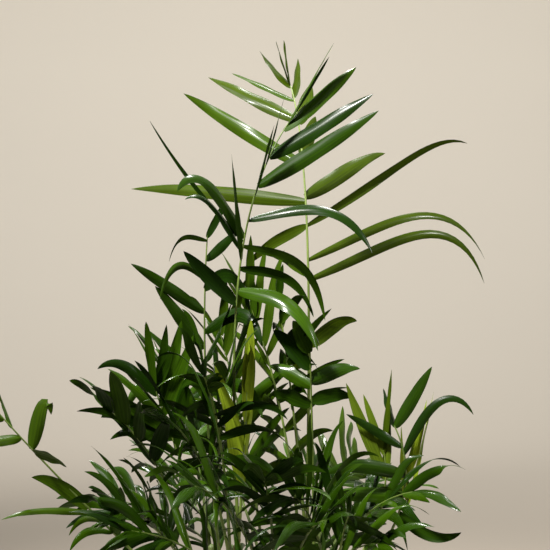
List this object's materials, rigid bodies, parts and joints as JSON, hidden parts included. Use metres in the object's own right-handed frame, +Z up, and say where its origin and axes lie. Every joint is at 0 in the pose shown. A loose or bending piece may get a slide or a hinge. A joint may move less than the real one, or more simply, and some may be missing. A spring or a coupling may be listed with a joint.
{
  "type": "potted palm",
  "caption": "Potted indoor palm: slender ringed canes in a plain tapered ceramic pot, with arching feather-shaped fronds of long narrow leaflets.",
  "frame": {"origin": "middle of the flat underside of the pot", "axes": "+Z up out of the pot, +X to the right and +Y away as seen in the picture"},
  "size_m": [0.518, 0.552, 0.7371],
  "materials": {
    "pot_ceramic": "matte",
    "potting_soil": "matte",
    "cane_green": "satin",
    "leaf_dark": "satin",
    "leaf_mid": "satin",
    "leaf_back": "satin",
    "leaf_pale": "satin",
    "leaf_young": "satin"
  },
  "bodies": {
    "root": {"cane_a": "cane_green", "cane_b": "cane_green", "cane_c": "cane_green", "cane_d": "cane_green", "cane_e": "cane_green", "cane_g": "cane_green", "cane_j": "cane_green", "cane_k": "cane_green", "cane_m": "cane_green", "frond_a1": "leaf_dark", "frond_a2": "leaf_young", "frond_a3": "leaf_dark", "frond_b1": "leaf_back", "frond_b2": "leaf_mid", "frond_b3": "leaf_mid", "frond_c1": "leaf_dark", "frond_c2": "leaf_dark", "frond_c3": "leaf_dark", "frond_c4": "leaf_dark", "frond_d1": "leaf_dark", "frond_d2": "leaf_dark", "frond_d3": "leaf_dark", "frond_e1": "leaf_dark", "frond_e2": "leaf_dark", "frond_e3": "leaf_dark", "frond_g1": "leaf_dark", "frond_g2": "leaf_dark", "frond_g3": "leaf_dark", "frond_g4": "leaf_mid", "frond_j1": "leaf_dark", "frond_j2": "leaf_young", "frond_j3": "leaf_pale", "frond_j4": "leaf_dark", "frond_j5": "leaf_dark", "frond_k1": "leaf_dark", "frond_k2": "leaf_dark", "frond_k3": "leaf_dark", "frond_k4": "leaf_dark", "frond_k5": "leaf_dark", "frond_m1": "leaf_dark", "frond_m2": "leaf_dark", "frond_m3": "leaf_dark", "frond_m4": "leaf_mid", "frond_m5": "leaf_dark", "pot": "pot_ceramic", "soil": "potting_soil"}
  },
  "joints": []
}
